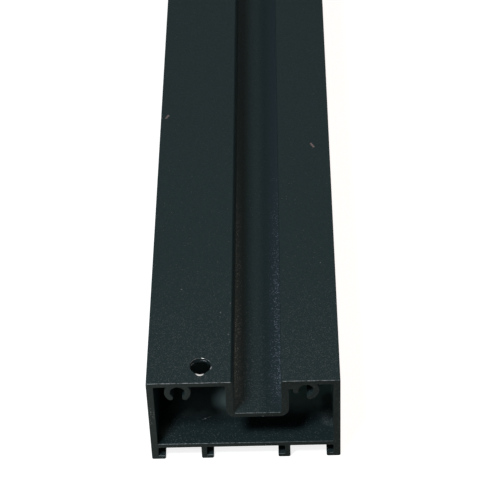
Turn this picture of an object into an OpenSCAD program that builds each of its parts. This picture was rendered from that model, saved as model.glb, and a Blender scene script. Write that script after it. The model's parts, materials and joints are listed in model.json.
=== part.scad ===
// Hollow aluminium extrusion profile, cut to length and lying on its feet.
// The section is drawn in the X-Z plane and runs along Y. Z = 0 is the underside of the feet,
// and X = 0, Y = 0 is the middle of the profile.

/* [Profile] */
// Length of the cut piece
profile_length = 1000; // [100:10:3000]
// Overall width of the section
profile_width = 50; // [44:0.5:80]
// Overall height of the section, feet included
profile_height = 28; // [25:0.5:45]

/* [Walls] */
// Thickness of the two outer side walls
side_wall = 1.8; // [1.2:0.1:2.4]
// Thickness of the top walls on both sides of the groove
top_wall = 1.4; // [1:0.1:2]
// Thickness of the bottom wall above the feet
bottom_wall = 1.4; // [1:0.1:2]
// Radius on the outer edges of the section
edge_round = 0.4; // [0.2:0.05:0.6]
// Radius in the inner corners of the hollow chamber
chamber_round = 0.3; // [0.1:0.05:0.6]

/* [Groove] */
// Clear width of the groove in the top
groove_width = 12.5; // [8:0.1:14]
// Depth of the groove below the top
groove_depth = 11.3; // [7:0.1:12]
// Distance of the groove's middle from the middle of the profile
groove_offset = 3.5; // [2:0.05:4.5]
// Thickness of the groove's side walls
groove_wall = 1.9; // [1.2:0.1:2.2]
// Thickness of the groove's floor
groove_floor = 1.4; // [1:0.1:2]
// Radius in the groove's inner corners
groove_round = 0.5; // [0.2:0.1:1]
// Radius on the top walls' edges at the groove's mouth
mouth_round = 0.5; // [0.2:0.05:0.7]
// Radius on the outside of the groove's bottom corners, in the chamber
channel_round = 2.6; // [1.5:0.1:4]

/* [Feet] */
// Height of the hooked feet below the bottom wall
foot_height = 4.2; // [3.4:0.1:6]
// Thickness of the feet's lips
lip_thickness = 1.2; // [0.9:0.1:1.6]
// Reach of an outer foot, from the profile's side to the end of its lip
outer_foot_reach = 3.7; // [3.2:0.1:5]
// Reach of an inner foot, from its back to the end of its lip
inner_foot_reach = 3.2; // [2.6:0.1:4]
// Thickness of an inner foot's leg
inner_foot_leg = 1.4; // [1:0.1:1.8]
// Distance of an inner foot's back from the middle of the profile
inner_foot_back = 11.75; // [9:0.05:14]
// Radius on the corners of the feet
foot_round = 0.5; // [0.2:0.05:0.55]

/* [Screw ports] */
// Inner radius of the screw ports
port_radius = 1.95; // [1.5:0.05:2.3]
// Thickness of the screw ports' arms
port_arm = 1.45; // [1:0.05:1.6]
// How far an arm's round tip leans outwards, so that a screw finds its way in
port_tip_lean = 0.03; // [0.02:0.01:0.1]
// Gap between the top wall and the inside of a port
port_clearance = 0.05; // [0.05:0.05:0.5]
// Distance of the left port's axis from the profile's left side
left_port_inset = 8; // [7.5:0.1:12]
// Distance of the right port's axis from the outside of the groove's right wall
right_port_offset = 4.5; // [4:0.1:6]
// Height of the web between the right port and the groove's wall, below the top wall
port_web_height = 1.5; // [0.8:0.1:2]
// Width of the gap in the left port, between the centres of its two tips
left_port_gap = 90; // [70:1:100]
// Width of the gap in the right port, between the centres of its two tips
right_port_gap = 104; // [70:1:110]
// Tilt of the right port's gap away from straight down, towards the groove
right_port_tilt = 32; // [0:0.5:35]

/* [Drilled hole] */
// Diameter of the hole in the left top wall
hole_diameter = 5.5; // [3:0.1:6.5]
// Distance of the hole's axis from the near end
hole_from_end = 6.4; // [5:0.1:40]
// Distance of the hole's axis from the profile's left side
hole_inset = 13.95; // [13:0.05:16]

/* [Hidden] */
$fn = 64;
// How far a cutting shape reaches past the surface that it cuts
cut_over = 1;

left_side = -profile_width / 2;
right_side = profile_width / 2;
near_end = -profile_length / 2;

// The hollow chamber's box, before the groove's channel and the ports take their share of it
chamber_left = left_side + side_wall;
chamber_right = right_side - side_wall;
chamber_bottom = foot_height + bottom_wall;
chamber_top = profile_height - top_wall;

// The groove and the channel of metal around it
groove_left = groove_offset - groove_width / 2;
groove_right = groove_offset + groove_width / 2;
groove_bottom = profile_height - groove_depth;
channel_left = groove_left - groove_wall;
channel_right = groove_right + groove_wall;
channel_bottom = groove_bottom - groove_floor;

// The screw ports hang from the top walls
port_outer = port_radius + port_arm;
port_middle = port_radius + port_arm / 2;
port_z = chamber_top - port_clearance - port_radius;
left_port_x = left_side + left_port_inset;
right_port_x = channel_right + right_port_offset;

// A rectangle between two corners, with true arcs of radius r at its own corners
module rounded_rectangle(low, high, r) {
    size = high - low;
    translate(low + [r, 0]) square(size - [2 * r, 0]);
    translate(low + [0, r]) square(size - [0, 2 * r]);
    for (x = [low[0] + r, high[0] - r], y = [low[1] + r, high[1] - r])
        translate([x, y]) circle(r);
}

// A hooked foot with its back at X = 0 and its lip towards +X; its rounded top is buried in the bottom wall
module hooked_foot(reach, leg) {
    difference() {
        rounded_rectangle([0, 0], [reach, foot_height + foot_round], foot_round);
        translate([leg, lip_thickness]) square([reach, foot_height - lip_thickness]);
    }
}

// One side's outer and inner foot, both with their lips towards the middle
module left_feet() {
    translate([left_side, 0]) hooked_foot(outer_foot_reach, side_wall);
    translate([-inner_foot_back, 0]) hooked_foot(inner_foot_reach, inner_foot_leg);
}

// The outside of the section, as if it were solid and had no groove. The bottom wall is square
// at its ends, where the outer feet carry on from the side walls
module outline() {
    rounded_rectangle([left_side, foot_height], [right_side, profile_height], edge_round);
    translate([left_side, foot_height]) square([profile_width, bottom_wall]);
    left_feet();
    mirror([1, 0]) left_feet();
}

// The groove in the top, open upwards
module groove() {
    rounded_rectangle([groove_left, groove_bottom],
                      [groove_right, profile_height + cut_over + groove_round], groove_round);
}

// The groove's mouth, which rounds the top walls' edges on both sides of it
module groove_mouth() {
    arcs_z = profile_height - mouth_round;
    difference() {
        translate([groove_left - mouth_round, arcs_z])
            square([groove_width + 2 * mouth_round, mouth_round + cut_over]);
        for (x = [groove_left - mouth_round, groove_right + mouth_round])
            translate([x, arcs_z]) circle(mouth_round);
    }
}

// The channel of metal around the groove, as it stands into the chamber
module channel() {
    rounded_rectangle([channel_left, channel_bottom],
                      [channel_right, profile_height + channel_round], channel_round);
}

// The metal of a C-shaped screw port about its own axis, with a gap centred on angle facing
module screw_port(gap, facing) {
    tips = [facing - gap / 2, facing + gap / 2];
    far = 2 * port_outer;
    difference() {
        circle(port_outer);
        circle(port_radius);
        polygon([[0, 0],
                 far * [cos(tips[0]), sin(tips[0])],
                 far * [cos(facing), sin(facing)],
                 far * [cos(tips[1]), sin(tips[1])]]);
    }
    for (a = tips)
        translate((port_middle + port_tip_lean) * [cos(a), sin(a)]) circle(port_arm / 2);
}

// The web under the top wall that joins the right port to the channel
module port_web() {
    difference() {
        translate([channel_right - groove_wall / 2, chamber_top - port_web_height])
            square([right_port_offset + groove_wall / 2, port_web_height + top_wall / 2]);
        translate([right_port_x, port_z]) circle(port_radius);
    }
}

// The hollow of the chamber, less the metal that stands into it
module chamber() {
    difference() {
        rounded_rectangle([chamber_left, chamber_bottom], [chamber_right, chamber_top], chamber_round);
        channel();
        translate([left_port_x, port_z]) screw_port(left_port_gap, -90);
        translate([right_port_x, port_z]) screw_port(right_port_gap, -90 - right_port_tilt);
        port_web();
    }
}

module section() {
    difference() {
        outline();
        groove();
        groove_mouth();
        chamber();
    }
}

// The hole drilled through the left top wall near the near end
module drilled_hole() {
    translate([left_side + hole_inset, near_end + hole_from_end, chamber_top - cut_over / 2])
        cylinder(h = top_wall + cut_over, d = hole_diameter);
}

module profile() {
    color("#262b2c")
        difference() {
            rotate([90, 0, 0]) linear_extrude(profile_length, center = true) section();
            drilled_hole();
        }
}

profile();
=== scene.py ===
"""Looks of a powder-coated aluminium extrusion profile: its mesh, finish, light and camera, in metres."""
import json
import math

import bmesh
import bpy
from mathutils import Matrix, Vector


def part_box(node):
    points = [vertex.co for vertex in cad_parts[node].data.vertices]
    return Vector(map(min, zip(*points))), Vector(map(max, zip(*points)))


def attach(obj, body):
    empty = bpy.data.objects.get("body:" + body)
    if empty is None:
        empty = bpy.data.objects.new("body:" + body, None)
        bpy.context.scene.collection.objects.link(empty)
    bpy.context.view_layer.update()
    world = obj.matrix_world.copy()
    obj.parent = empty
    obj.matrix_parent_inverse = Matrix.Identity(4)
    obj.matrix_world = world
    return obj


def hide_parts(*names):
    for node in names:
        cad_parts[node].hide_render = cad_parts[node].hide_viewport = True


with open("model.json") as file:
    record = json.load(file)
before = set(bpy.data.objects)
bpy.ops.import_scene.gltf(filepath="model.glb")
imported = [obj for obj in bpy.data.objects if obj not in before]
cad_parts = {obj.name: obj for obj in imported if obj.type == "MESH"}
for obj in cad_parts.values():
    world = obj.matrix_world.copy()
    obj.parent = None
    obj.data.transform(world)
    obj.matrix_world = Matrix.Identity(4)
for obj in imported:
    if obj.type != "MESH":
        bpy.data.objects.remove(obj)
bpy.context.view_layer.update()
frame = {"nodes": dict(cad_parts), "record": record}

MM = 0.001
NODE = "profile"
LOW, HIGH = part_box(NODE)
MOUNTS = {mount["name"]: mount for mount in frame["record"]["mounts"]}
HOLE = MOUNTS["drilled_hole"]
GROOVE_FLOOR = MOUNTS["infill_groove"]["pos_m"][2]

# Reading the section's outlines: what counts as one point, as a chord of an arc and as a corner
WELD = 0.001 * MM
LONGEST_CHORD = 1.2 * MM
SLIGHTEST_BEND = math.radians(2)
CORNER = math.radians(27)
ARC_PARTS = 3

# The coat rounds the section's sharp corners a little, but cuts off no more than a share of a side
COAT_ROUND = 0.15 * MM
COAT_ROUND_PARTS = 4
LARGEST_CUT = 0.4

# Edges broken by the saw at both ends. Those that face up at least this much get wear and painted highlights
EDGE_BREAK = 0.08 * MM
EDGE_STEPS = 4
UPWARD = 0.97

# Along the length: a band at each end, long enough for the hole, and equal parts between the bands
HOLE_BAND = 16 * MM
BODY_PARTS = 8

# The angle from which on an edge is shaded as sharp
SHARP = math.radians(32)

# The drilled hole's rim, worn wider towards the near end, with a crescent where coat and metal broke away.
# Angles round the hole are in degrees
RIM_STEPS = 120
RIM_BREAK = 0.055 * MM
WEAR_REACH = 0.3 * MM
CHIP_REACH = 1.0 * MM
CHIP_DEPTH = 0.14 * MM
CHIP_HALF_ANGLE = 25
CHIP_DIRECTION = -91

# Material slots on the mesh
COAT, HOLLOW, SAWN, WEAR_AND_HIGHLIGHT, EDGE, BARE_METAL, SCUFFED = range(7)

# Arcs of the hole's rim without sound coat: start and end in degrees, and the material
RIM_ARCS = [(68, 85, BARE_METAL), (36, 46, WEAR_AND_HIGHLIGHT), (24, 160, SCUFFED)]

# Painted highlights on the hole's wall: start and end in degrees, and upper and lower end as shares of its
# depth
WALL_HIGHLIGHTS = [(56, 89, 0.42, 0.60), (133, 154, 0.70, 0.88)]

# Linear colours
TEAL_DARK = (0.0148, 0.0254, 0.0280)
TEAL_LIGHT = (0.0184, 0.0307, 0.0338)
# Painted shade, on the groove's mouth and on the hollow's left wall
PAINTED_SHADE = (0.0060, 0.0125, 0.0132)
MILL = (0.130, 0.178, 0.180)
# Bare metal made paler deep in the hollow, as a painted glow
GLOWING_MILL = (0.330, 0.500, 0.475)
COOL_FLAKE = (0.050, 0.056, 0.062)
WARM_FLAKE = (0.062, 0.055, 0.050)
# Film and painted sheen in the groove's right and left corners
BLUE_FILM_AND_SHEEN = (0.0268, 0.0405, 0.0480)
WARM_FILM_AND_SHEEN = (0.0390, 0.0570, 0.0580)
BARE = (0.62, 0.61, 0.60)
SCUFF = (0.17, 0.17, 0.165)
# Pale colour of wear and of painted highlights on the edges, also used for marks
RUBBED = (0.46, 0.50, 0.54)
PINKISH = (0.15, 0.122, 0.125)
PALE = (0.28, 0.28, 0.31)
FAINT = (0.110, 0.119, 0.122)
DULL = (0.026, 0.036, 0.039)
# A painted pool of light on the hollow's floor, and its pale specks below
LIGHT_POOL = (0.053, 0.069, 0.072)
SAWN_DARK = (0.0180, 0.0245, 0.0230)
SAWN_LIGHT = (0.0235, 0.0305, 0.0288)
SAWN_PALE = (0.0340, 0.0442, 0.0414)
WHITE = (1.0, 1.0, 1.0, 1.0)

# Kinds of specks: linear colour, cells per metre of a random grid, and the share of cells that have one
# Pale specks of dust and painted glints
DUST_AND_GLINTS = (0.076, 0.084, 0.090), 4300.0, 0.42
HOLLOW_DUST = (0.105, 0.120, 0.127), 4400.0, 0.14
LIGHT_POOL_SPECKS = (0.160, 0.180, 0.182), 3300.0, 0.50
# Painted glints in the groove's right and left corners
BLUE_GLINTS = (0.230, 0.260, 0.315), 3300.0, 0.60
WARM_GLINTS = (0.240, 0.260, 0.265), 3300.0, 0.60
SAWN_SPECKS = (0.180, 0.180, 0.170), 2600.0, 0.60
SAWN_GLINTS = (0.055, 0.060, 0.056), 3000.0, 0.35

# Noise patterns: scale, detail and roughness
GRAIN = 2300.0, 3.0, 0.62
FINE_GRAIN = 6500.0, 1.0, 0.5
RAGGED = 3200.0, 2.0, 0.5
CLOUD = 420.0, 3.0, 0.5
RUBBING = 900.0, 4.0, 0.7
METAL_CLOUD = 650.0, 2.0, 0.5
METAL_GRAIN = 4000.0, 1.0, 0.5
SAW_RINGS = {"Scale": 900.0, "Distortion": 1.5, "Detail": 1.0}

# The middle of a noise's values, and the values between which one look turns into another
MIDDLE = 0.5
GRAIN_RANGE, CLOUD_RANGE = (0.36, 0.66), (0.3, 0.7)
WEAR_AND_HIGHLIGHT_RANGE, SAWN_RANGE = (0.34, 0.64), (0.62, 0.85)

# Flakes and specks end at one distance from their cell's middle and are full within another, in cells
FLAKE_DOT, SPECK_DOT = (0.5, 0.15), (0.6, 0.25)

# Glinting flakes: cells per metre, the share of cells with one, contrast, and where the two tints part
FLAKE_GRID, FLAKE_SHARE, FLAKE_CONTRAST, FLAKE_TINTS = 2400.0, 0.08, 1.5, (0.35, 0.65)

# Flakes fade with distance from the drilled end: from where, to where, and what is left
FLAKES_FROM, FLAKES_TO, FLAKES_AFAR = 40 * MM, 120 * MM, 0.35

# Dust and painted glints near the drilled end: where they start to thin out, where they have thinned out,
# and what is left beyond
SPECKLED_FROM, SPECKLED_TO, SPECKLED_AFAR = 5 * MM, 75 * MM, 0.08

# Shine of the finishes. A pair of values belongs to the low and the high end of the noise
COAT_ROUGHNESS, FLAKE_ROUGHNESS, FLAKE_METAL = 0.48, 0.24, 0.6
SAWN_ROUGHNESS, METAL_ROUGHNESS, EDGE_ROUGHNESS = (0.48, 0.60), (0.5, 0.32), 0.5
COAT_SPECULAR, EDGE_SPECULAR = 0.02, 0.05

# Bumps: strength and height, and the fine grain's share in the coat's
COAT_BUMP, SAWN_BUMP, METAL_BUMP = (0.5, 0.09 * MM), (0.08, 0.02 * MM), (0.2, 0.03 * MM)
FINE_SHARE = 0.35

# Coat inside the hollow: how far in from an end it starts to thin out, and from where on the metal is bare
COATED_TO, BARE_FROM = 8 * MM, 15 * MM

# The bare metal's painted glow, paler deeper in: how far in it starts, from where on it is full, how much
# nearer to the end both are on the right, and from which place across
GLOW_FROM, GLOW_FULL_FROM, RIGHT_NEARER, RIGHT_FROM = 22 * MM, 34 * MM, 14 * MM, 12 * MM

# The hollow's left wall keeps its coat, under painted shade: its thickness and place, how far the painted
# shade reaches across the floor, where the coat beside the wall starts to thin out, and where it has done so
SIDE_WALL = 1.8 * MM
LEFT_WALL = LOW.x + SIDE_WALL
SHADED_TO, LEFT_WALL_FROM, LEFT_WALL_TO = -19 * MM, -22 * MM, -14 * MM

# The hollow's floor is dustier to the left: where that starts, where it is most, and how many times as much
DUSTY_FROM, DUSTY_TO, DUSTY_LEFT = -4 * MM, -14 * MM, 1.4

# A painted pool of light on the hollow's floor by the right wall: two points and a radius in millimetres
LIGHT_POOL_PATCH = (22.5, -492.0, 5.6), (22.8, -484.6, 5.6), 3.3
LIGHT_POOL_SHARE = 0.7

# Thin coat in the groove's corners, with a painted sheen and painted glints, up to a height above its floor:
# its share right at the drilled end, how far in it is full, and by where its specks, the painted glints,
# have thinned out to which share
CORNER_HEIGHT = 1.5 * MM
THIN_AT_END, THIN_FROM, SPECKS_TO, SPECKS_AFAR = 0.2, 10 * MM, 150 * MM, 0.1

# The right and the left corner: where the thin coat starts across and is thinnest, the share of its film
# and painted sheen far away, the colour of film and sheen, and the kind of specks, which are painted glints
THIN_COAT_AND_SHEEN = [
    (4.6 * MM, 9.6 * MM, 1.0, BLUE_FILM_AND_SHEEN, BLUE_GLINTS),
    (0.4 * MM, -2.6 * MM, 0.0, WARM_FILM_AND_SHEEN, WARM_GLINTS),
]

# Painted shade on the rounded edge at the groove's mouth, on the left: its sides and bottom,
# and how softly they end
SHADE_FROM, SHADE_TO, SHADE_BOTTOM = -3.20 * MM, -2.70 * MM, 27.5 * MM
SHADE_SOFT_SIDE, SHADE_SOFT_BOTTOM = 0.06 * MM, 0.3 * MM

# Marks: how far their ragged edge wanders and within what they are full, both in radii
RAGGED_REACH, FULL_WITHIN = 1.6, 0.5

# Marks in the coat, each from one point to another in millimetres, with a radius and a colour
MARKS = [
    ((19.65, -401.3, 28.0), (20.30, -402.9, 28.0), 0.40, PINKISH),
    ((-23.45, -387.3, 28.0), (-22.80, -386.1, 28.0), 0.42, PINKISH),
    ((-24.80, -387.5, 27.9), (-24.75, -386.9, 27.9), 0.20, PINKISH),
    ((-11.50, -491.3, 5.6), (-11.30, -491.2, 5.6), 0.24, FAINT),
    ((-10.90, -491.0, 5.6), (-10.70, -490.9, 5.6), 0.21, RUBBED),
    ((-10.10, -490.6, 5.6), (-9.40, -490.1, 5.6), 0.22, FAINT),
    # A painted highlight along the groove's left edge
    ((-3.45, -499.9, 28.0), (-3.50, -470.0, 28.0), 0.17, FAINT),
    ((-8.15, -494.2, 28.0), (-8.40, -494.9, 28.0), 0.17, PALE),
    ((19.65, -417.0, 28.0), (19.35, -437.0, 28.0), 0.20, DULL),
    ((-16.75, -464.1, 28.0), (-16.65, -464.0, 28.0), 0.22, FAINT),
    ((-6.10, -473.6, 28.0), (-6.00, -473.5, 28.0), 0.22, FAINT),
    ((-3.90, -482.2, 28.0), (-3.80, -482.1, 28.0), 0.21, FAINT),
    ((21.00, -454.4, 28.0), (21.10, -454.2, 28.0), 0.17, FAINT),
]
SAWN_MARKS = [((4.70, -500.0, 15.2), (4.95, -500.0, 15.2), 0.24, RUBBED)]

# A cluster of pale specks on the sawn left wall: two points and a radius in millimetres
CLUSTER_PATCH = (-24.1, -500.0, 18.6), (-23.9, -500.0, 14.2), 1.3

# The sawn end is paler to the left. Its edges are rubbed, with painted highlights, most there, and least
# low down on the right
PALE_FROM, PALE_TO = 8 * MM, -27 * MM
PALE_EDGE_LEFT, PALE_EDGE_LOW_RIGHT, PALE_EDGE_HIGH_RIGHT = 0.97, 0.30, 0.72

# Camera, fitted to the photograph's edges
CAMERA_PLACE = Vector((13.09, -856.91, 382.33)) * MM
CAMERA_YAW = math.radians(-1.587)
CAMERA_PITCH = math.radians(40.930)
CAMERA_ROLL = math.radians(2.319)
FOCAL_PIXELS = 1961.3
IMAGE_PIXELS = 500
SENSOR_WIDTH = 36.0

# Lamps: name, direction from the near end, distance, size, colour and power
LAMPS = [
    ("key", (-0.355, -0.445, 1.0), 0.65, 0.175, (0.90, 0.98, 1.0), 3.03),
    ("warm_side", (0.475, 0.12, 1.0), 0.8, 0.15, (1.0, 0.76, 0.62), 2.1),
]

# Even light all round, and the floor
AMBIENT = 0.13
FLOOR_SIZE = 60.0
FLOOR_COLOUR = (0.5, 0.5, 0.5, 1.0)
FLOOR_GLOW = 0.84


def bend(a, b, c):
    """The signed angle by which the way from a to c turns at b."""
    p, q = b - a, c - b
    return math.atan2(p.x * q.y - p.y * q.x, p.dot(q))


def section_loops():
    """The section's outlines at the near end as (x, z), the outer one first, with metal on the left."""
    bm = bmesh.new()
    bm.from_mesh(frame["nodes"][NODE].data)
    bmesh.ops.remove_doubles(bm, verts=bm.verts, dist=WELD)
    end = {f for f in bm.faces if all(abs(v.co.y - LOW.y) < WELD for v in f.verts)}
    following = {}
    for face in end:
        for corner in face.loops:
            if not end.issuperset(corner.edge.link_faces):
                following[corner.vert] = corner.link_loop_next.vert
    loops = []
    while following:
        first = min(following, key=lambda v: (v.co.z, v.co.x))
        loop, vert = [], first
        while vert in following:
            loop.append(Vector((vert.co.x, vert.co.z)))
            vert = following.pop(vert)
        loops.append(loop)
    bm.free()
    return loops


def arc_points(a, b, angle, parts):
    """Points between a and b on the arc that turns by angle on its way."""
    chord = b - a
    side = Vector((-chord.y, chord.x)).normalized()
    radius = chord.length / (2 * math.sin(angle / 2))
    points = []
    for k in range(1, parts):
        heading = angle * (k / parts - 0.5)
        along = radius * (math.sin(heading) + math.sin(angle / 2))
        across = radius * (math.cos(angle / 2) - math.cos(heading))
        points.append(a + chord.normalized() * along + side * across)
    return points


def smooth_arcs(loop):
    """The outline with each chord of an arc split into shorter ones on that arc."""
    count = len(loop)
    bends = [bend(loop[i - 1], loop[i], loop[(i + 1) % count]) for i in range(count)]
    smooth = []
    for i in range(count):
        a, b = loop[i], loop[(i + 1) % count]
        ends = bends[i], bends[(i + 1) % count]
        smooth.append(a)
        gentle = all(SLIGHTEST_BEND < abs(turn) < CORNER for turn in ends)
        if gentle and ends[0] * ends[1] > 0 and (b - a).length < LONGEST_CHORD:
            smooth += arc_points(a, b, max(ends, key=abs), ARC_PARTS)
    return smooth


def round_corners(loop):
    """The outline with each sharp corner turned into a small arc."""
    count = len(loop)
    rounded = []
    for i in range(count):
        a, b, c = loop[i - 1], loop[i], loop[(i + 1) % count]
        turn = bend(a, b, c)
        cut = COAT_ROUND * math.tan(abs(turn) / 2)
        if abs(turn) < CORNER or cut > LARGEST_CUT * min((b - a).length, (c - b).length):
            rounded.append(b)
            continue
        start = b - (b - a).normalized() * cut
        end = b + (c - b).normalized() * cut
        rounded += [start, *arc_points(start, end, turn, COAT_ROUND_PARTS), end]
    return rounded


def inset(loop, depth):
    """The outline moved into the metal by depth, with mitred corners."""
    count = len(loop)
    moved = []
    for i in range(count):
        before = (loop[i] - loop[i - 1]).normalized()
        after = (loop[(i + 1) % count] - loop[i]).normalized()
        sides = Vector((-before.y - after.y, before.x + after.x))
        moved.append(loop[i] + sides * depth / (1 + before.dot(after)))
    return moved


def end_rings(end, inward):
    """Places and insets of the rings round an end's broken edge, from the sawn face inwards."""
    rings = []
    for k in range(EDGE_STEPS + 1):
        angle = math.pi / 2 * k / EDGE_STEPS
        rings.append((end + inward * EDGE_BREAK * (1 - math.cos(angle)), EDGE_BREAK * (1 - math.sin(angle))))
    return rings


def ring_plan():
    """All rings along the length, as (y, inset)."""
    near = end_rings(LOW.y, 1)
    far = end_rings(HIGH.y, -1)[::-1]
    start, stop = LOW.y + HOLE_BAND, HIGH.y - HOLE_BAND
    body = [(start + (stop - start) * k / BODY_PARTS, 0.0) for k in range(BODY_PARTS + 1)]
    return near + body + far


def skin(bm, loop, rings, finish):
    """The walls of one outline along the length, in one finish. Returns the vertices of each ring."""
    rows = []
    for y, depth in rings:
        rows.append([bm.verts.new((p.x, y, p.y)) for p in inset(loop, depth)])
    count = len(loop)
    for j in range(len(rows) - 1):
        broken = j < EDGE_STEPS or j >= len(rows) - 1 - EDGE_STEPS
        for i in range(count):
            k = (i + 1) % count
            face = bm.faces.new((rows[j][i], rows[j + 1][i], rows[j + 1][k], rows[j][k]))
            outward_z = -(loop[k] - loop[i]).normalized().x
            face.material_index = finish
            if broken:
                # Edges that face up get wear and painted highlights
                face.material_index = WEAR_AND_HIGHLIGHT if outward_z > UPWARD else EDGE
    return rows


def edges_of(row):
    """The edges that join a closed row of vertices."""
    edges = []
    for i, vert in enumerate(row):
        following = row[(i + 1) % len(row)]
        edges.append(next(e for e in vert.link_edges if e.other_vert(vert) is following))
    return edges


def fill(bm, edges, material):
    """A flat face between closed rows of edges."""
    made = bmesh.ops.triangle_fill(bm, edges=edges, use_beauty=True)
    for item in made["geom"]:
        if isinstance(item, bmesh.types.BMFace):
            item.material_index = material


def turn_from(angle, start):
    """The turn in degrees from one angle to another, from -180 to 180."""
    return (angle - start + 180) % 360 - 180


def chip_share(angle):
    """How much of the full chip there is at an angle round the hole, from 0 to 1."""
    return max(0.0, 1 - (turn_from(angle, CHIP_DIRECTION) / CHIP_HALF_ANGLE) ** 2)


def wear(angle):
    """How far the rim is worn back at an angle round the hole."""
    return WEAR_REACH * max(0.0, math.cos(math.radians(turn_from(angle, CHIP_DIRECTION)))) ** 2


def rim_reach(angle):
    """How far the rim's outer edge lies outside the hole at an angle round it."""
    return RIM_BREAK + max(wear(angle), CHIP_REACH * chip_share(angle))


def finish_at(angle, arcs):
    """The material at an angle round the hole: that of the first arc round it, or else sound coat."""
    for start, end, material in arcs:
        if abs(turn_from(angle, (start + end) / 2)) < (end - start) / 2:
            return material
    return COAT


def ring_of_hole(bm, widening, z, chip_drop):
    """A closed row round the hole, wider than it by some amount at each angle and sunk at the chip."""
    row = []
    for k in range(RIM_STEPS):
        angle = 360 * k / RIM_STEPS
        reach = HOLE["dims"]["r_mm"] * MM + widening(angle)
        x = HOLE["pos_m"][0] + reach * math.cos(math.radians(angle))
        y = HOLE["pos_m"][1] + reach * math.sin(math.radians(angle))
        row.append(bm.verts.new((x, y, z - chip_drop * chip_share(angle))))
    for k in range(RIM_STEPS):
        bm.edges.new((row[k], row[(k + 1) % RIM_STEPS]))
    return row


def wall_over_hole(bm, z):
    """The flat face at height z that the hole goes through."""
    x, y = HOLE["pos_m"][:2]
    for face in bm.faces:
        xs = [v.co.x for v in face.verts]
        ys = [v.co.y for v in face.verts]
        level = all(abs(v.co.z - z) < WELD for v in face.verts)
        if level and min(xs) < x < max(xs) and min(ys) < y < max(ys):
            return face


def drill(bm):
    """Cuts the hole through the top wall, with its rim, its wall with painted highlights, and its chip."""
    depth = HOLE["dims"]["length_mm"] * MM
    top, bottom = HOLE["pos_m"][2] + depth / 2, HOLE["pos_m"][2] - depth / 2
    rows = [
        ring_of_hole(bm, rim_reach, top, 0.0),
        ring_of_hole(bm, wear, top - RIM_BREAK, CHIP_DEPTH),
    ]
    chip = (CHIP_DIRECTION - CHIP_HALF_ANGLE, CHIP_DIRECTION + CHIP_HALF_ANGLE, BARE_METAL)
    bands = [[chip, *RIM_ARCS]]
    # Painted highlights on the hole's wall
    for start, end, high, low in WALL_HIGHLIGHTS:
        rows += [ring_of_hole(bm, lambda a: 0.0, top - share * depth, 0.0) for share in (high, low)]
        bands += [[], [(start, end, WEAR_AND_HIGHLIGHT)]]
    rows += [
        ring_of_hole(bm, lambda a: 0.0, bottom + RIM_BREAK, 0.0),
        ring_of_hole(bm, lambda a: RIM_BREAK, bottom, 0.0),
    ]
    bands += [[], []]
    for upper, lower, arcs in zip(rows, rows[1:], bands):
        for i in range(RIM_STEPS):
            k = (i + 1) % RIM_STEPS
            face = bm.faces.new((upper[i], upper[k], lower[k], lower[i]))
            face.material_index = finish_at(360 * (i + 0.5) / RIM_STEPS, arcs)
    for row, z in ((rows[0], top), (rows[-1], bottom)):
        face = wall_over_hole(bm, z)
        border, finish = list(face.edges), face.material_index
        bmesh.ops.delete(bm, geom=[face], context="FACES_ONLY")
        fill(bm, border + edges_of(row), finish)


def profile_mesh():
    """The whole bar as one closed mesh."""
    bm = bmesh.new()
    near_edges, far_edges = [], []
    rings = ring_plan()
    for i, loop in enumerate(section_loops()):
        rows = skin(bm, round_corners(smooth_arcs(loop)), rings, HOLLOW if i else COAT)
        near_edges += edges_of(rows[0])
        far_edges += edges_of(rows[-1])
    drill(bm)
    fill(bm, near_edges, SAWN)
    fill(bm, far_edges, SAWN)
    bmesh.ops.recalc_face_normals(bm, faces=bm.faces)
    for face in bm.faces:
        face.smooth = True
    for edge in bm.edges:
        edge.smooth = edge.calc_face_angle() < SHARP
    mesh = bpy.data.meshes.new("extruded_profile")
    bm.to_mesh(mesh)
    bm.free()
    return mesh


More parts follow.
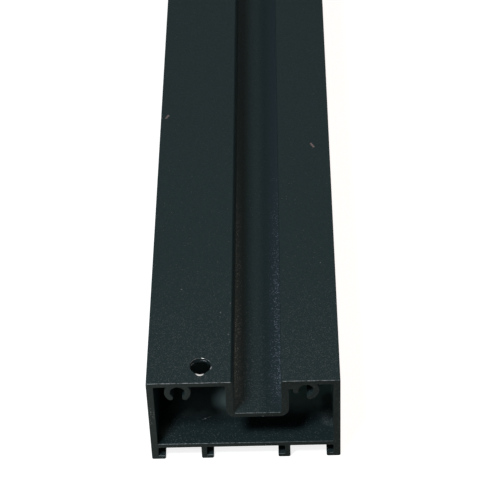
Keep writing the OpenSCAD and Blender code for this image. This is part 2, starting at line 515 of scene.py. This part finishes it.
class Graph:
    """A material's node tree, with short ways to add and join nodes."""

    def __init__(self, name):
        self.material = bpy.data.materials.new(name)
        self.material.use_nodes = True
        self.tree = self.material.node_tree
        self.shader = self.tree.nodes["Principled BSDF"]
        self.place = self.add("ShaderNodeTexCoord").outputs["Object"]
        self.x, self.y, self.z = self.add("ShaderNodeSeparateXYZ", Vector=self.place).outputs

    def add(self, kind, settings=None, **inputs):
        """A new node. An input is named, or given by its number after an underscore."""
        node = self.tree.nodes.new(kind)
        for key, value in (settings or {}).items():
            setattr(node, key, value)
        for key, value in inputs.items():
            self.put(node.inputs[int(key[1:])] if key[1:].isdigit() else node.inputs[key], value)
        return node

    def put(self, socket, value):
        """Joins a socket to another one, or gives it a value."""
        if isinstance(value, bpy.types.NodeSocket):
            self.tree.links.new(value, socket)
        elif isinstance(value, tuple) and len(value) == 3 and socket.type == "RGBA":
            socket.default_value = (*value, 1.0)
        else:
            socket.default_value = value

    def set(self, name, value):
        self.put(self.shader.inputs[name], value)

    def math(self, operation, a, b=0.0):
        return self.add("ShaderNodeMath", {"operation": operation}, _0=a, _1=b).outputs[0]

    def times(self, a, b):
        return self.math("MULTIPLY", a, b)

    def vector(self, operation, a, b=(0.0, 0.0, 0.0)):
        node = self.add("ShaderNodeVectorMath", {"operation": operation}, _0=a, _1=b)
        return node.outputs["Value" if operation in ("DOT_PRODUCT", "LENGTH") else "Vector"]

    def scaled(self, vector, factor):
        node = self.add("ShaderNodeVectorMath", {"operation": "SCALE"}, _0=vector, Scale=factor)
        return node.outputs["Vector"]

    def noise(self, scale, detail, roughness):
        node = self.add("ShaderNodeTexNoise", Vector=self.place, Scale=scale, Detail=detail,
                        Roughness=roughness)
        return node.outputs["Fac"]

    def ramp(self, value, low, high, to_low=0.0, to_high=1.0):
        """value from low to high, spread over to_low to to_high and held there outside."""
        node = self.add("ShaderNodeMapRange", {"interpolation_type": "SMOOTHSTEP"})
        for socket, number in zip(node.inputs, (value, low, high, to_low, to_high)):
            self.put(socket, number)
        return node.outputs["Result"]

    def mix(self, share, a, b):
        """The colour a with a share of the colour b."""
        node = self.add("ShaderNodeMix", {"data_type": "RGBA"})
        self.put(node.inputs["Factor"], share)
        self.put(node.inputs[6], a)
        self.put(node.inputs[7], b)
        return node.outputs[2]

    def bump(self, height, strength, distance, **normal):
        node = self.add("ShaderNodeBump", Height=height, Strength=strength, Distance=distance, **normal)
        self.set("Normal", node.outputs[0])


def flakes(g, amount):
    """Glinting flakes in a share of the cells of a random grid: their mask, colour and tilted normal."""
    cells = g.add("ShaderNodeTexVoronoi", Vector=g.place, Scale=FLAKE_GRID)
    chance = g.add("ShaderNodeSeparateColor", Color=cells.outputs["Color"])
    strength = g.math("POWER", g.ramp(chance.outputs[0], 1 - FLAKE_SHARE, 1.0), FLAKE_CONTRAST)
    mask = g.times(strength, g.ramp(cells.outputs["Distance"], *FLAKE_DOT))
    mask = g.times(mask, amount)
    colour = g.mix(g.ramp(chance.outputs[1], *FLAKE_TINTS), COOL_FLAKE, WARM_FLAKE)
    tilt = g.vector("SUBTRACT", cells.outputs["Color"], (MIDDLE, MIDDLE, MIDDLE))
    facing = g.add("ShaderNodeNewGeometry").outputs["Normal"]
    return mask, colour, g.vector("NORMALIZE", g.vector("ADD", facing, g.scaled(tilt, mask)))


def mark(g, start, end, radius, edge):
    """A mask along the way from start to end, in millimetres. Its edge wanders with a noise."""
    a, b = Vector(start) * MM, Vector(end) * MM
    way, reach = b - a, radius * MM
    offset = g.vector("SUBTRACT", g.place, tuple(a))
    share = g.math("DIVIDE", g.vector("DOT_PRODUCT", offset, tuple(way)), way.length_squared)
    nearest = g.scaled(tuple(way), g.ramp(share, 0.0, 1.0))
    distance = g.vector("LENGTH", g.vector("SUBTRACT", offset, nearest))
    wander = g.times(g.math("SUBTRACT", edge, MIDDLE), RAGGED_REACH * reach)
    return g.ramp(g.math("ADD", distance, wander), reach, FULL_WITHIN * reach)


def marked(g, colour, marks):
    """The colour with marks on it."""
    ragged = g.noise(*RAGGED)
    for start, end, radius, tint in marks:
        colour = g.mix(mark(g, start, end, radius, ragged), colour, tint)
    return colour


def specks(g, colour, kind, amount):
    """The colour with round specks of a kind, in amount times that kind's share of the cells."""
    tint, scale, density = kind
    cells = g.add("ShaderNodeTexVoronoi", Vector=g.place, Scale=scale)
    chance = g.add("ShaderNodeSeparateColor", Color=cells.outputs["Color"]).outputs[0]
    strength = g.ramp(g.math("ADD", chance, g.times(amount, density)), 1.0, 1.0 + density)
    share = g.times(strength, g.ramp(cells.outputs["Distance"], *SPECK_DOT))
    return g.mix(share, colour, tint)


def between(g, value, low, high, soft):
    """A mask that is 1 from low to high and falls to 0 within soft outside."""
    return g.times(g.ramp(value, low - soft, low), g.ramp(value, high + soft, high))


def in_groove(g, colour):
    """The colour with thin coat, painted sheen and glints in the groove's corners, and painted shade on its
    mouth's left edge.
    """
    end, full, last = LOW.y, LOW.y + THIN_FROM, LOW.y + SPECKS_TO
    by_floor = between(g, g.z, GROOVE_FLOOR, GROOVE_FLOOR + CORNER_HEIGHT / 2, CORNER_HEIGHT / 2)
    by_floor = g.times(by_floor, g.ramp(g.y, end, full, THIN_AT_END, 1.0))
    fading = g.ramp(g.y, full, last, 1.0, SPECKS_AFAR)
    # Thin coat in each corner, with a painted sheen, and specks that are painted glints
    for edge, thinnest, afar, film_and_sheen, kind in THIN_COAT_AND_SHEEN:
        thin = g.times(by_floor, g.ramp(g.x, edge, thinnest))
        lasting = g.ramp(g.y, full, last, 1.0, afar)
        colour = g.mix(g.times(thin, lasting), colour, film_and_sheen)
        colour = specks(g, colour, kind, g.times(thin, fading))
    # Painted shade on the rounded left edge of the groove's mouth
    shaded = g.times(between(g, g.x, SHADE_FROM, SHADE_TO, SHADE_SOFT_SIDE),
                     g.ramp(g.z, SHADE_BOTTOM - SHADE_SOFT_BOTTOM, SHADE_BOTTOM))
    return g.mix(shaded, colour, PAINTED_SHADE)


def bared(g, colour):
    """The colour with bare metal in the hollow, not near the ends and not on the left wall. The bare metal
    is also a painted glow, paler deeper in and nearer the end on the right.
    """
    depth = g.math("SUBTRACT", HIGH.y, g.math("ABSOLUTE", g.y))
    off_left_wall = g.ramp(g.x, LEFT_WALL_FROM, LEFT_WALL_TO)
    share = g.times(g.ramp(depth, COATED_TO, BARE_FROM), off_left_wall)
    # Painted glow: the bare metal is paler deeper in, and nearer the end on the right
    depth = g.math("ADD", depth, g.ramp(g.x, 0.0, RIGHT_FROM, 0.0, RIGHT_NEARER))
    return g.mix(share, colour, g.mix(g.ramp(depth, GLOW_FROM, GLOW_FULL_FROM), MILL, GLOWING_MILL))


def in_hollow(g, colour, speckled):
    """The colour with dust, bare metal that is also a painted glow, painted shade on the left wall and a
    painted pool of light on the floor.
    """
    dusty = g.times(speckled, g.ramp(g.x, DUSTY_FROM, DUSTY_TO, 1.0, DUSTY_LEFT))
    colour = bared(g, specks(g, colour, HOLLOW_DUST, dusty))
    # Painted shade on the hollow's left wall and the floor beside it
    colour = g.mix(g.ramp(g.x, SHADED_TO, LEFT_WALL), colour, PAINTED_SHADE)
    # A painted pool of light, with pale specks, on the floor by the right wall
    powder = mark(g, *LIGHT_POOL_PATCH, MIDDLE)
    colour = g.mix(g.times(powder, LIGHT_POOL_SHARE), colour, LIGHT_POOL)
    return specks(g, colour, LIGHT_POOL_SPECKS, powder)


def powder_coat(name, hollow):
    """The coat with flakes, dust, painted glints, marks, and painted light and shade, outside or in the
    hollow.
    """
    g = Graph(name)
    grain = g.noise(*GRAIN)
    colour = g.mix(g.ramp(grain, *GRAIN_RANGE), TEAL_DARK, TEAL_LIGHT)
    glinting = g.ramp(g.y, LOW.y + FLAKES_FROM, LOW.y + FLAKES_TO, 1.0, FLAKES_AFAR)
    flake, flake_colour, tilted = flakes(g, glinting)
    colour = g.mix(flake, colour, flake_colour)
    speckled = g.ramp(g.y, LOW.y + SPECKLED_FROM, LOW.y + SPECKLED_TO, 1.0, SPECKLED_AFAR)
    if hollow:
        colour = in_hollow(g, colour, speckled)
    else:
        # Pale specks: dust, and painted glints, thinning out away from the drilled end
        colour = in_groove(g, specks(g, colour, DUST_AND_GLINTS, speckled))
    g.set("Base Color", marked(g, colour, MARKS))
    g.set("Metallic", g.times(flake, FLAKE_METAL))
    g.set("Roughness", g.ramp(flake, 0.0, 1.0, COAT_ROUGHNESS, FLAKE_ROUGHNESS))
    g.set("Specular IOR Level", COAT_SPECULAR)
    g.bump(g.math("ADD", grain, g.times(g.noise(*FINE_GRAIN), FINE_SHARE)), *COAT_BUMP, Normal=tilted)
    return g.material


def sawn_end():
    """The sawn face, paler to the left, with faint rings from the saw, glints and specks."""
    g = Graph("sawn_end")
    cloud = g.noise(*CLOUD)
    colour = g.mix(g.ramp(cloud, *CLOUD_RANGE), SAWN_DARK, SAWN_LIGHT)
    colour = g.mix(g.ramp(g.x, PALE_FROM, PALE_TO), colour, SAWN_PALE)
    colour = specks(g, colour, SAWN_GLINTS, 1.0)
    colour = specks(g, colour, SAWN_SPECKS, mark(g, *CLUSTER_PATCH, MIDDLE))
    g.set("Base Color", marked(g, colour, SAWN_MARKS))
    g.set("Roughness", g.ramp(cloud, *CLOUD_RANGE, *SAWN_ROUGHNESS))
    g.set("Specular IOR Level", COAT_SPECULAR)
    rings = g.add("ShaderNodeTexWave", {"wave_type": "RINGS", "rings_direction": "Y"}, Vector=g.place,
                  **SAW_RINGS)
    g.bump(rings.outputs["Fac"], *SAWN_BUMP)
    return g.material


def dull_finish(g, colour):
    """The material in a colour or pattern, with a dull finish."""
    g.set("Base Color", colour)
    g.set("Roughness", EDGE_ROUGHNESS)
    g.set("Specular IOR Level", EDGE_SPECULAR)
    return g.material


def broken_edge(name, paling_from, paling_to):
    """Coat on a sawn edge, rubbed paler as the noise goes from one value to the other: wear and painted
    highlights.
    """
    g = Graph(name)
    # Pale patches: wear, and painted highlights, most on the left
    rub_and_highlight = g.ramp(g.noise(*RUBBING), paling_from, paling_to)
    on_right = g.ramp(g.z, GROOVE_FLOOR, HIGH.z, PALE_EDGE_LOW_RIGHT, PALE_EDGE_HIGH_RIGHT)
    rub_and_highlight = g.times(rub_and_highlight, g.ramp(g.x, LOW.x, HIGH.x, PALE_EDGE_LEFT, on_right))
    return dull_finish(g, g.mix(rub_and_highlight, SAWN_LIGHT, RUBBED))


def scuffed():
    """Coat that is rubbed pale, on the hole's rim."""
    return dull_finish(Graph("scuffed"), SCUFF)


def bare_metal():
    """Bright metal where the coat broke away."""
    g = Graph("bare_metal")
    g.set("Base Color", BARE)
    g.set("Metallic", 1.0)
    g.set("Roughness", g.ramp(g.noise(*METAL_CLOUD), *CLOUD_RANGE, *METAL_ROUGHNESS))
    g.bump(g.noise(*METAL_GRAIN), *METAL_BUMP)
    return g.material


def make_profile():
    """The bar itself, in place of the plain solid."""
    piece = bpy.data.objects.new("extruded_profile", profile_mesh())
    bpy.context.scene.collection.objects.link(piece)
    finishes = {
        COAT: powder_coat("powder_coat", False),
        HOLLOW: powder_coat("thin_coat", True),
        SAWN: sawn_end(),
        WEAR_AND_HIGHLIGHT: broken_edge("worn_and_highlit_edge", *WEAR_AND_HIGHLIGHT_RANGE),
        EDGE: broken_edge("sawn_edge", *SAWN_RANGE),
        BARE_METAL: bare_metal(),
        SCUFFED: scuffed(),
    }
    for index in sorted(finishes):
        piece.data.materials.append(finishes[index])
    normals = piece.modifiers.new("even_normals", "WEIGHTED_NORMAL")
    normals.keep_sharp = True
    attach(piece, "root")
    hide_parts(NODE)


def seen_share(tree):
    """A socket that is 1 for what the camera, a reflection or clear material shows, and 0 for light."""
    path = tree.nodes.new("ShaderNodeLightPath")
    seen = path.outputs["Is Camera Ray"]
    for name in ("Is Glossy Ray", "Is Transmission Ray"):
        either = tree.nodes.new("ShaderNodeMath")
        either.operation = "MAXIMUM"
        tree.links.new(seen, either.inputs[0])
        tree.links.new(path.outputs[name], either.inputs[1])
        seen = either.outputs[0]
    return seen


def make_floor():
    """A plain pale floor that keeps the shadow and looks white."""
    bm = bmesh.new()
    bmesh.ops.create_grid(bm, x_segments=1, y_segments=1, size=FLOOR_SIZE / 2)
    mesh = bpy.data.meshes.new("floor")
    bm.to_mesh(mesh)
    bm.free()
    floor = bpy.data.objects.new("floor", mesh)
    bpy.context.scene.collection.objects.link(floor)
    material = bpy.data.materials.new("floor")
    material.use_nodes = True
    tree = material.node_tree
    tree.nodes.remove(tree.nodes["Principled BSDF"])
    diffuse = tree.nodes.new("ShaderNodeBsdfDiffuse")
    diffuse.inputs["Color"].default_value = FLOOR_COLOUR
    glow = tree.nodes.new("ShaderNodeEmission")
    strength = tree.nodes.new("ShaderNodeMath")
    strength.operation = "MULTIPLY"
    strength.inputs[1].default_value = FLOOR_GLOW
    tree.links.new(seen_share(tree), strength.inputs[0])
    tree.links.new(strength.outputs[0], glow.inputs["Strength"])
    both = tree.nodes.new("ShaderNodeAddShader")
    tree.links.new(diffuse.outputs[0], both.inputs[0])
    tree.links.new(glow.outputs[0], both.inputs[1])
    tree.links.new(both.outputs[0], tree.nodes["Material Output"].inputs["Surface"])
    mesh.materials.append(material)


def make_world():
    """A dim even light all round, seen as white."""
    world = bpy.data.worlds.new("studio")
    world.use_nodes = True
    tree = world.node_tree
    background = tree.nodes["Background"]
    background.inputs["Color"].default_value = WHITE
    level = tree.nodes.new("ShaderNodeMapRange")
    level.inputs["To Min"].default_value = AMBIENT
    tree.links.new(seen_share(tree), level.inputs["Value"])
    tree.links.new(level.outputs["Result"], background.inputs["Strength"])
    bpy.context.scene.world = world


def make_lamps():
    """Soft lamps round the near end, all facing it."""
    aim = Vector((0.0, LOW.y, HIGH.z))
    for name, direction, distance, size, colour, power in LAMPS:
        light = bpy.data.lights.new(name, "AREA")
        light.shape = "DISK"
        light.size = size
        light.color = colour
        light.energy = power
        lamp = bpy.data.objects.new(name, light)
        bpy.context.scene.collection.objects.link(lamp)
        lamp.location = aim + Vector(direction).normalized() * distance
        lamp.rotation_mode = "QUATERNION"
        lamp.rotation_quaternion = (aim - lamp.location).to_track_quat("-Z", "Y")
        lamp.visible_camera = False


def make_camera():
    """A camera at the photograph's viewing angle."""
    level, climb = math.cos(CAMERA_PITCH), math.sin(CAMERA_PITCH)
    ahead = Vector((math.sin(CAMERA_YAW) * level, math.cos(CAMERA_YAW) * level, -climb))
    flat_right = Vector((math.cos(CAMERA_YAW), -math.sin(CAMERA_YAW), 0.0))
    flat_down = ahead.cross(flat_right)
    right = math.cos(CAMERA_ROLL) * flat_right + math.sin(CAMERA_ROLL) * flat_down
    data = bpy.data.cameras.new("camera")
    data.sensor_width = SENSOR_WIDTH
    data.lens = FOCAL_PIXELS * SENSOR_WIDTH / IMAGE_PIXELS
    camera = bpy.data.objects.new("camera", data)
    bpy.context.scene.collection.objects.link(camera)
    turn = Matrix((right, right.cross(ahead), -ahead)).transposed()
    camera.matrix_world = Matrix.Translation(CAMERA_PLACE) @ turn.to_4x4()
    bpy.context.scene.camera = camera


make_profile()
make_floor()
make_world()
make_lamps()
make_camera()
bpy.context.scene.view_settings.view_transform = "Standard"
